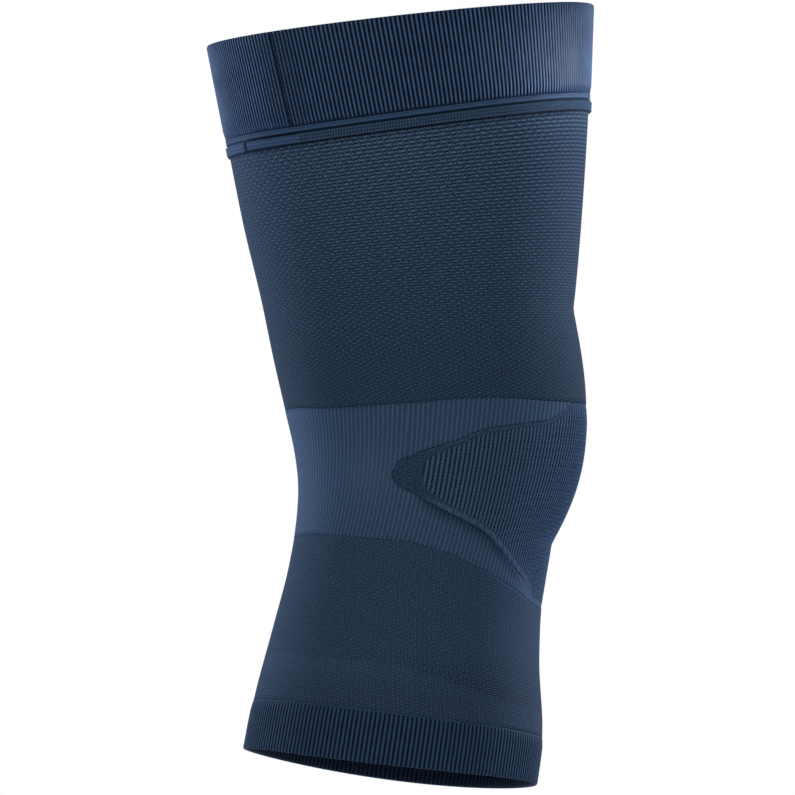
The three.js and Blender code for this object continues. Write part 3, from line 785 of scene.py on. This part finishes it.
def makeKneeRibs(given):
    print("knee ribs: zone with four horns")
    tip, end = math.radians(panelTip), math.radians(hornTip)
    step = 2 * math.pi / given["columns"]
    side = np.linspace(end, tip, int((tip - end) / step) + 1)
    back = np.linspace(tip, 2 * math.pi - tip, int(2 * (math.pi - tip) / step) + 1)
    turns = np.concatenate([side[:-1], back, (2 * math.pi - side[::-1])[1:]])
    top = lineAt(thighLine, turns) - zoneGap
    bottom = lineAt(calfLine, turns) + zoneGap
    upperEdge = np.minimum(lineAt(panelTopLine, turns) + zoneGap, top - 0.05)
    lowerEdge = np.maximum(lineAt(panelLowLine, turns) - zoneGap, bottom + 0.05)
    shares = np.linspace(0, 1, given["rows"] + 1)
    behind = (turns >= tip - 1e-9) & (turns <= 2 * math.pi - tip + 1e-9)
    patches = [patch(turns, bottom, lowerEdge, shares), patch(turns, upperEdge, top, shares),
               patch(turns[behind], lowerEdge[behind], upperEdge[behind], [0, 1])]

    def paintedShadowAndLightAt(turn, height):
        # painted shadow: the ribs are darkened under the panel's raised ridge
        degrees = degreesFromFront(turn)
        under = np.maximum(lineAt(panelLowLine, turn) - height, 0)
        paintedShadow = (height < -19) * np.exp(-(under / given["paintedShadowWidth"]) ** 2) * (
            smoothStep(degrees, 22, 34) - smoothStep(degrees, 76, 92))
        # and a painted pool of light makes them paler behind its tip
        stretched = np.exp(-((degrees - panelTip - 12) / 17) ** 2 - ((height + 18) / 15) ** 2)
        return paintedShadow - stretched

    shell = knitShell("kneeRibKnit", patches, everywhere(given["wall"] - given["ribHeight"]), everywhere(0),
                      evenKnit(given), everywhere(1), {"marks": paintedShadowAndLightAt})
    raiseRibs(shell, given, ribKnit("paleNavyRibKnit", given["look"]))
    dress(shell, "rib_knit", "knee_ribs", given["flat"])


makeKneeRibs(kneeRibs)


# Kneecap panel: coarse pierced rib over a plain ground, with a rolled edge and a raised ridge

patellaPanel = {
    # 250 ribs to a whole turn at the front are 1.4 mm apart
    "frontRibs": 250, "ribLoss": 63, "samples": 4, "rows": 60, "wall": 1.7, "ribHeight": 0.5,
    "crestPower": 0.8, "lean": -0.0024, "coursePitch": 1.35,
    "ridge": {"width": 2.6, "rise": 0.5}, "knobs": 0.3, "roll": {"width": 1.6, "rise": 0.25},
    "plainTip": 10.5, "plainEdge": 1.5, "flat": (170, 70), "flatArea": 7600,
    # thicker textured yarn: matt dark ribs broken by holes painted darker as shade, with a faint blue rim
    "look": {"yarn": [(0.1, "#0d1727"), (0.6, "#1f3149"), (1.05, "#445b77")], "sharpness": 0.6,
             "plain": 0.7, "dye": 0.9,
             "fine": [(0.14, ("wale", 2)), (0.16, ("course", 2), ("wale", 2)), (-0.18, ("course", 2))],
             "streak": 1.0, "mottle": 0.85, "grain": 2.0, "edge": 0.22,
             "roughness": 0.7, "sheen": 0.42, "bump": 0.14},
}


def panelEdges(turns):
    degrees = degreesFromFront(turns)
    top = np.where(degrees < hornTip, lineAt(thighLine, turns), lineAt(panelTopLine, turns))
    bottom = np.where(degrees < hornTip, lineAt(calfLine, turns), lineAt(panelLowLine, turns))
    return bottom + zoneGap, top - zoneGap


def makePatellaPanel(given):
    print("patella panel: pierced rib, roll and ridge")
    tip = math.radians(panelTip)

    def ribsTo(turn):
        # ribs from the front to a turn, wider apart towards the tips
        around = np.abs(turn)
        ribs = given["frontRibs"] * around - given["ribLoss"] * around ** 2 / 2
        return np.sign(turn) * ribs / (2 * math.pi)

    ribsEachSide = ribsTo(tip)
    fine = np.linspace(-tip, tip, 4001)
    columns = 2 * int(ribsEachSide * given["samples"])
    turns = np.interp(np.linspace(-ribsEachSide, ribsEachSide, columns + 1), ribsTo(fine), fine)
    bottom, top = panelEdges(turns)
    tall = top - bottom
    low = np.minimum(given["ridge"]["width"] * 1.3, tall * 0.3)
    high = np.minimum(given["roll"]["width"] * 1.3, tall * 0.25)
    rows = [low * share for share in np.linspace(0, 1, 8)]
    rows += [low + (tall - low - high) * share for share in np.linspace(0, 1, given["rows"])[1:-1]]
    rows += [tall - high * share for share in np.linspace(1, 0, 6)]
    heights = bottom + np.array(rows)
    grid = np.broadcast_to(turns, heights.shape), heights
    radius = legForm["kneeDepth"] / 2

    def edgeDistances(turn, height):
        # true distances from both edges, by the slope of each border
        step = 0.01
        below, above = panelEdges(turn)
        before, after = np.array(panelEdges(turn - step)), np.array(panelEdges(turn + step))
        slopes = np.clip((after - before) / (2 * step * radius), -3, 3)
        return np.array([height - below, above - height]) / np.sqrt(1 + slopes ** 2)

    def knobsAt(turn):
        # every second rib ends in a small knob on the ridge and the roll
        return 1 + given["knobs"] * np.cos(math.pi * ribsTo(turn))

    def bulge(distance, shape):
        return shape["rise"] * np.sin(math.pi * np.clip(distance / shape["width"], 0, 1)) ** 0.8

    def outerAt(turn, height):
        fromLow, fromHigh = edgeDistances(turn, height)
        below, above = panelEdges(turn)
        room = smoothStep(above - below, 3, 12) * smoothStep(np.degrees(np.abs(turn)), 16, 36)
        raised = bulge(fromLow, given["ridge"]) + bulge(fromHigh, given["roll"])
        return given["wall"] - given["ribHeight"] - 0.1 + room * raised * knobsAt(turn)

    def reliefAt(turn, height):
        fromLow, fromHigh = edgeDistances(turn, height)
        fromTip = (tip - np.abs(turn)) * radius
        near = given["plainEdge"] * np.exp(-np.maximum(fromTip - 14, 0) / 12)
        rooms = fromLow - 1.2 - near, fromHigh - 0.6 - near, 1.1 * (fromTip - given["plainTip"])
        room = 1 / sum(1 / np.maximum(part, 1e-3) for part in rooms)
        thick = (0.4 + 0.6 * smoothStep(fromLow, 2, 10)) * (0.4 + 0.6 * smoothStep(fromHigh, 2, 8))
        return smoothStep(room, 0.9, 1.5) * np.maximum(thick, 0.4)

    def knitAt(turn, height):
        leaned = turn - given["lean"] * height
        # the courses of holes climb by one for each rib, which gives the panel its twill
        return ribsTo(leaned), height / given["coursePitch"] - ribsTo(leaned)

    def paleAt(turn, height):
        # the ridge and the roll are drawn paler than the tip, most where they rise highest
        fromLow, fromHigh = edgeDistances(turn, height)
        lifted = (bulge(fromLow, given["ridge"]) / given["ridge"]["rise"]
                  + 0.5 * bulge(fromHigh, given["roll"]) / given["roll"]["rise"])
        return np.minimum(lifted, 1) * knobsAt(turn) * (1 - smoothStep(np.degrees(np.abs(turn)), 74, 86))

    shell = knitShell("patellaPanelKnit", [grid], outerAt, everywhere(0), knitAt, reliefAt, {"marks": paleAt})
    raiseRibs(shell, given, ribKnit("darkNavyPiercedRib", given["look"]))
    dress(shell, "panel_knit", "patella_panel", given["flat"], area=given["flatArea"] * millimetre ** 2)


makePatellaPanel(patellaPanel)


# Calf knit: finer mesh knit, finest under a line given as degrees from the front and height

densityLine = [(0, -104), (38, -102.6), (83, -95.3), (102, -94.6), (124, -94.2), (180, -94.2)]

calfKnit = {
    # 380 wales round 340 mm are 0.9 mm apart
    "columns": 300, "rows": 40, "fineShare": 0.25, "wall": 1.2, "wales": 380, "lean": 0.0019,
    "coursePitch": 0.89, "flat": (300, 62),
    # the thigh's microfibre in a closer mesh: smaller openings, and an even matt blue
    "look": {"yarn": [(0.1, "#0a1322"), (0.5, "#293c52"), (0.9, "#526a88")],
             "rowsFrom": (-108, 0.6), "rowsTo": (-88, 0.16), "rowsBehind": 1.0, "lift": (-0.13, 0.0),
             "pairs": 0.42, "wales": 0.22, "dots": 0.15, "stagger": 0.1, "edge": 0.07,
             "mottle": 0.7, "grain": 2.0,
             "roughness": 0.7, "sheen": 0.11, "bump": 0.16},
}


def makeCalfKnit(given):
    print("calf knit: fine mesh")
    turns = ringTurns(given["columns"])
    highs = lineAt(calfLine, turns) - zoneGap
    grid = patch(turns, zoneHeights["cuffTop"] + zoneGap, highs, np.linspace(0, 1, given["rows"] + 1) ** 0.9)

    def knitAt(turn, height):
        under = np.maximum(lineAt(densityLine, turn) - height, 0)
        return (walesAt(given["wales"], turn, height, given["lean"]),
                (height - given["fineShare"] * under) / given["coursePitch"])

    def paleAt(turn, height):
        # a pale row at the ribs, and the denser and so paler knit at the bottom
        border = np.exp(-((lineAt(calfLine, turn) - height - 0.5) / 0.45) ** 2)
        return 2.5 * border + smoothStep(lineAt(densityLine, turn) - height, -0.3, 0.3)

    shell = knitShell("calfFineKnit", [grid], everywhere(given["wall"]), everywhere(0), knitAt,
                      everywhere(0), {"marks": paleAt})
    shell.data.materials.append(meshKnit("navyFineKnit", given["look"]))
    dress(shell, "fine_knit", "calf_knit", given["flat"])


makeCalfKnit(calfKnit)


# Hem cuff: ribs on both faces and a turned edge

hemCuff = {
    # 200 ribs round 360 mm are 1.8 mm apart
    "ribs": 200, "samples": 8, "wall": 1.7, "innerOut": 0.35, "ribHeight": 0.4, "crestPower": 0.75,
    "edgeBulge": 0.8, "lean": 0.0, "coursePitch": 0.9, "flat": (300, 19),
    # rib knit over elastic: the darkest piece, with narrow dull crests
    "look": {"yarn": [(0.2, "#040a12"), (0.62, "#1a2c44"), (0.98, "#365273")], "sharpness": 0.9,
             "plain": 0.95, "dye": 0.78, "fine": [(0.05, ("course", 2))], "streak": 0.25, "mottle": 0.3,
             "roughness": 0.6, "sheen": 0.09, "bump": 0.05},
}


def makeHemCuff(given):
    print("hem cuff: ribs and turned edge")
    low = -legForm["shankHeight"] + given["edgeBulge"]
    high = zoneHeights["cuffTop"] - zoneGap
    turns = ringTurns(given["ribs"] * given["samples"])
    tall = high - low
    levels = np.array([0, 2, 5, 9, tall - 4, tall - 2, tall - 0.6, tall - 0.2, tall])
    grid = patch(turns, low, high, levels / tall)

    def reliefAt(turn, height):
        thinner = 1 - 0.55 * smoothStep(height, high - 4, high - 0.5)
        return thinner * (1 - smoothStep(height, high - 0.6, high - 0.2))

    def outerAt(turn, height):
        # level with the knit above, and full thickness a little below it
        above = calfKnit["wall"]
        full = given["wall"] - given["ribHeight"]
        return above + (full - above) * (1 - smoothStep(height, high - 6, high))

    rim = {"top": 0.1, "bottom": given["edgeBulge"], "steps": 4, "inside": -0.7}
    shell = knitShell("hemCuffKnit", [grid], outerAt, everywhere(given["innerOut"]), evenKnit(given),
                      reliefAt, rim)
    raiseRibs(shell, given, ribKnit("darkNavyRibbedCuff", given["look"]))
    dress(shell, "cuff_knit", "hem_cuff", given["flat"])


makeHemCuff(hemCuff)


# Studio: pale floor, pale world, strip lights at both sides, a weak fill from the camera's side
# and a small gridded lamp for the thigh band

studio = {
    "azimuth": -82, "elevation": -3.5, "distance": 5.5, "seenWidth": 0.322, "sensor": 36,
    "aimRight": -0.0166, "aimUp": 0.0172, "floorHeight": -0.45, "floorRadius": 30,
    "worldLight": 0.5, "worldSeen": 1.0,
    "lamps": [
        {"name": "leftStrip", "place": (-1.65, 0.1, -1.15), "size": (0.5, 2.4),
         "power": 32, "colour": "#c0d8ff"},
        {"name": "rightStrip", "place": (1.75, 0.5, -1.05), "size": (0.5, 1.6),
         "power": 35, "colour": "#cfe1ff"},
        {"name": "frontFill", "place": (-0.6, 1.2, 2.4), "size": (1.6, 1.6),
         "power": 14, "colour": "#ffffff"},
        {"name": "bandGrid", "place": (0.72, 0.12, 0.12), "size": (0.12, 0.03),
         "power": 0.018, "colour": "#f6f2ee", "aimHeight": 0.15, "spread": 4},
    ],
}


def makeStudio(given):
    print("studio: camera, lights and floor")
    azimuth, elevation = math.radians(given["azimuth"]), math.radians(given["elevation"])
    towards = Vector((math.sin(azimuth) * math.cos(elevation), -math.cos(azimuth) * math.cos(elevation),
                      math.sin(elevation)))
    right = Vector((math.cos(azimuth), math.sin(azimuth), 0))
    up = towards.cross(right)
    cameraData = bpy.data.cameras.new("camera")
    cameraData.sensor_width = given["sensor"]
    cameraData.lens = given["sensor"] * given["distance"] / given["seenWidth"]
    cameraData.clip_end = 100
    camera = addObject("camera", cameraData)
    aim = right * given["aimRight"] + up * given["aimUp"]
    camera.location = aim + towards * given["distance"]
    camera.rotation_mode = "QUATERNION"
    camera.rotation_quaternion = (-towards).to_track_quat("-Z", "Y")
    scene.camera = camera
    level = Vector((towards.x, towards.y, 0)).normalized()
    for row in given["lamps"]:
        light = bpy.data.lights.new(row["name"], "AREA")
        light.shape, light.energy = "RECTANGLE", row["power"]
        light.size, light.size_y = row["size"]
        light.spread = math.radians(row.get("spread", 180))
        light.color = linearColour(row["colour"])[:3]
        lamp = addObject(row["name"], light)
        across, height, forward = row["place"]
        lamp.location = right * across + level * forward + Vector((0, 0, height))
        lamp.rotation_mode = "QUATERNION"
        target = Vector((0, 0, row.get("aimHeight", 0)))
        lamp.rotation_quaternion = (target - lamp.location).to_track_quat("-Z", "Y")

    world = bpy.data.worlds.new("paleStudio")
    world.use_nodes = True
    tree = world.node_tree
    tree.nodes.clear()
    seen = addNode(tree, "ShaderNodeLightPath").outputs["Is Camera Ray"]
    strength = addNode(tree, "ShaderNodeMix", {0: seen, 2: given["worldLight"], 3: given["worldSeen"]})
    sky = addNode(tree, "ShaderNodeBackground", {"Color": (1, 1, 1, 1), "Strength": strength})
    addNode(tree, "ShaderNodeOutputWorld", {"Surface": sky})
    scene.world = world
    scene.view_settings.view_transform = "Standard"

    steps = 64
    angles = [2 * math.pi * i / steps for i in range(steps)]
    ring = [(math.cos(angle) * given["floorRadius"], math.sin(angle) * given["floorRadius"],
             given["floorHeight"]) for angle in angles]
    mesh = bpy.data.meshes.new("floor")
    mesh.from_pydata(ring, [], [list(range(steps))])
    floor = addObject("floor", mesh)
    # matt painted board, which burns out to white
    material, tree = newMaterial("paleFloor")
    paint = addNode(tree, "ShaderNodeBsdfPrincipled", {
        "Base Color": linearColour("#f4f4f4"), "Roughness": 0.9})
    addNode(tree, "ShaderNodeOutputMaterial", {"Surface": paint})
    mesh.materials.append(material)


makeStudio(studio)
